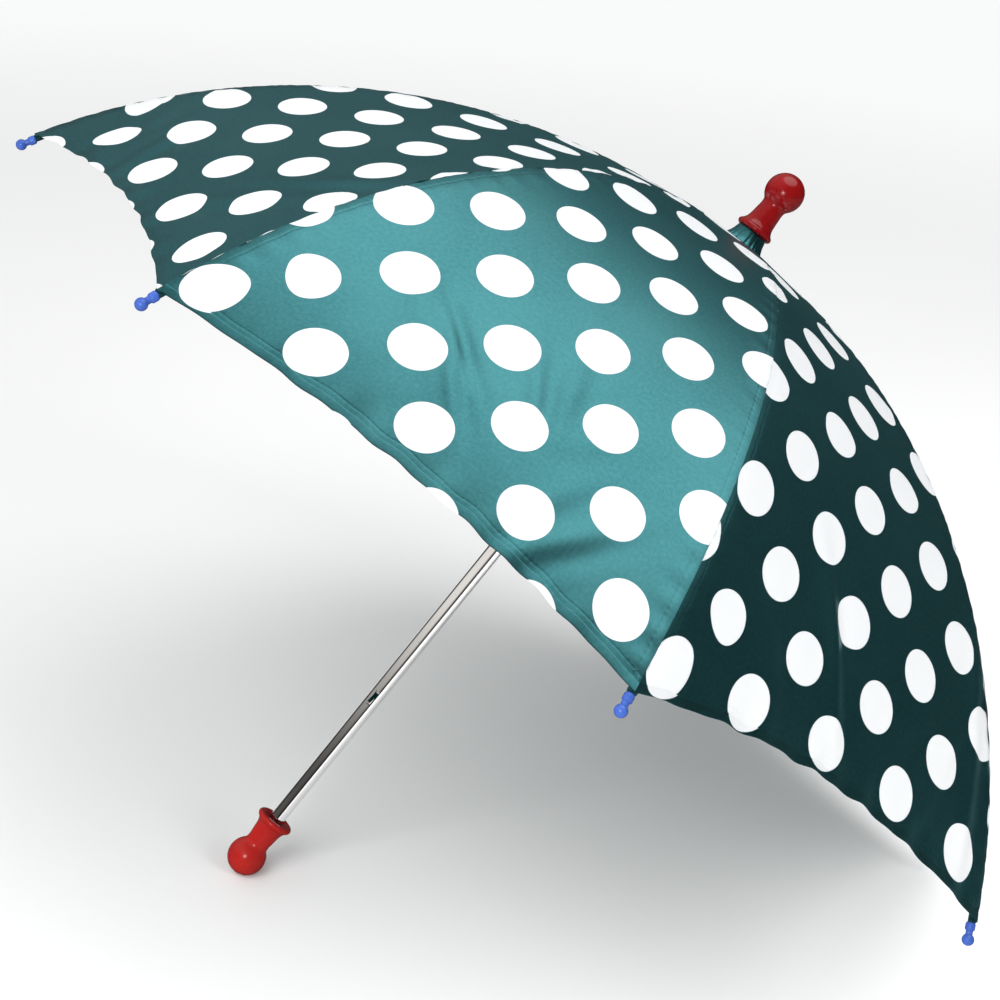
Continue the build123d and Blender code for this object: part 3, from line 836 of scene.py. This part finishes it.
def floor_plane():
    """Point and upward normal of the floor that the handle ball and two rib tips rest on."""
    ball_low, ball_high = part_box("handle_knob")
    ball = Vector((0, 0, ball_low.z + (ball_high.x - ball_low.x) / 2))
    tips = []
    for rib in FLOOR_RIBS:
        vertices = frame["nodes"][f"rib_tip_{rib}"].data.vertices
        tips.append(min(vertices, key=lambda vertex: vertex.co.z).co.copy())
    span = (tips[1] - tips[0]).normalized()
    line = ((tips[0] + tips[1]) / 2 - ball).normalized()
    normal = line.cross(span).normalized()
    if normal.z < 0:
        normal.negate()
    lowest = min(
        normal.dot(vertex.co) for node in frame["nodes"].values() for vertex in node.data.vertices
    )
    return normal * lowest, normal


def build_camera():
    data = bpy.data.cameras.new("camera")
    data.lens = CAMERA_LENS
    data.sensor_width = 36
    data.shift_x, data.shift_y = CAMERA_SHIFT
    camera = bpy.data.objects.new("camera", data)
    bpy.context.scene.collection.objects.link(camera)
    look = (CAMERA_AIM - CAMERA_PLACE).to_track_quat("-Z", "Y").to_matrix()
    roll = Matrix.Rotation(CAMERA_ROLL, 3, "Z")
    camera.matrix_world = Matrix.Translation(CAMERA_PLACE) @ (look @ roll).to_4x4()
    bpy.context.scene.camera = camera
    return camera


def build_world(up, right, toward):
    """White backdrop, an even glow on matt surfaces, and darker rooms for satin and chrome."""
    world = bpy.data.worlds.new("studio")
    nodes = Nodes("studio", world)
    ray = nodes.add("ShaderNodeTexCoord").outputs["Generated"]

    def facing(direction):
        return nodes.vector("DOT_PRODUCT", ray, tuple(direction)).outputs["Value"]

    def light(tint, strength):
        node = nodes.add("ShaderNodeBackground")
        nodes.feed(node.inputs["Color"], colour(*tint))
        nodes.feed(node.inputs["Strength"], strength)
        return node.outputs[0]

    bright_side = (up * 0.8 - right * 0.25 - toward * 0.3).normalized()
    satin_room = nodes.remap(facing(bright_side), 0.3, 1.0, 0.02, 0.34)

    # Chrome mirrors a room that darkens downward, behind the object and at the floor's horizon
    view = (CAMERA_AIM - CAMERA_PLACE).normalized()
    downward = nodes.remap(facing((0, 0, 1)), -0.26, -0.12, 0.10, 0.95)
    behind = nodes.remap(facing(view), 0.0, 0.5, 1.0, 0.12)
    horizon = nodes.remap(nodes.math("ABSOLUTE", facing(up)), 0.05, 0.35, 0.1, 1.0)
    chrome_room = nodes.math("MULTIPLY", downward, nodes.math("MULTIPLY", behind, horizon))

    path = nodes.add("ShaderNodeLightPath").outputs
    source = light((0.97, 0.99, 1.0), satin_room)
    for ray_kind, tint, strength in (
        ("Is Singular Ray", (1.0, 0.97, 0.92), chrome_room),
        ("Is Diffuse Ray", (0.98, 0.99, 1.0), 0.72),
        ("Is Camera Ray", BACKDROP, 1.0),
    ):
        source = nodes.mix_shaders(path[ray_kind], source, light(tint, strength))
    nodes.join(source, nodes.output.inputs["Surface"])
    world.cycles.sampling_method = "NONE"
    bpy.context.scene.world = world


def build_floor(point, up, right, toward):
    corners = [
        (toward * a + right * b) * FLOOR_HALF_SIDE for a, b in ((-1, -1), (-1, 1), (1, 1), (1, -1))
    ]
    floor = link_mesh("floor", corners, [(0, 1, 2, 3)], floor_material())
    if floor.data.polygons[0].normal.dot(up) < 0:
        floor.data.flip_normals()
    floor.location = point
    return floor


def light_only(item, receivers):
    """Keep a light to the given objects."""
    lit = bpy.data.collections.new(f"lit_by_{item.name}")
    for receiver in receivers:
        lit.objects.link(receiver)
    item.light_linking.receiver_collection = lit


def build_studio(camera):
    """Paper floor under the tilted umbrella, and soft lights set from the floor's own axes."""
    point, up = floor_plane()
    toward = camera.matrix_world.translation - point
    toward = (toward - up * toward.dot(up)).normalized()
    right = up.cross(toward).normalized()
    floor = build_floor(point, up, right, toward)
    target = point + up * TARGET_HEIGHT
    knobs_and_tips = [
        node for name, node in frame["nodes"].items() if "knob" in name or "tip" in name
    ]
    receivers = {"floor_lift": [floor], "sparkle": knobs_and_tips}
    for name, (to_right, to_camera, to_top), size, power in LIGHTS:
        offset = right * to_right + toward * to_camera + up * to_top
        data = bpy.data.lights.new(name, "AREA")
        data.shape = "DISK"
        data.size = size
        data.energy = power
        item = bpy.data.objects.new(name, data)
        bpy.context.scene.collection.objects.link(item)
        item.visible_glossy = name in REFLECTED_LIGHTS
        if name in receivers:
            light_only(item, receivers[name])
        turn = (-offset).to_track_quat("-Z", "Y").to_matrix().to_4x4()
        item.matrix_world = Matrix.Translation(target + offset) @ turn
    build_world(up, right, toward)
    bpy.context.scene.view_settings.view_transform = "Standard"


def main():
    paint_cad_nodes()
    for number in range(1, RIB_COUNT + 1):
        build_panel(number)
    for rib in range(1, RIB_COUNT + 1):
        build_corner(rib)
    build_rosette()
    build_studio(build_camera())


main()
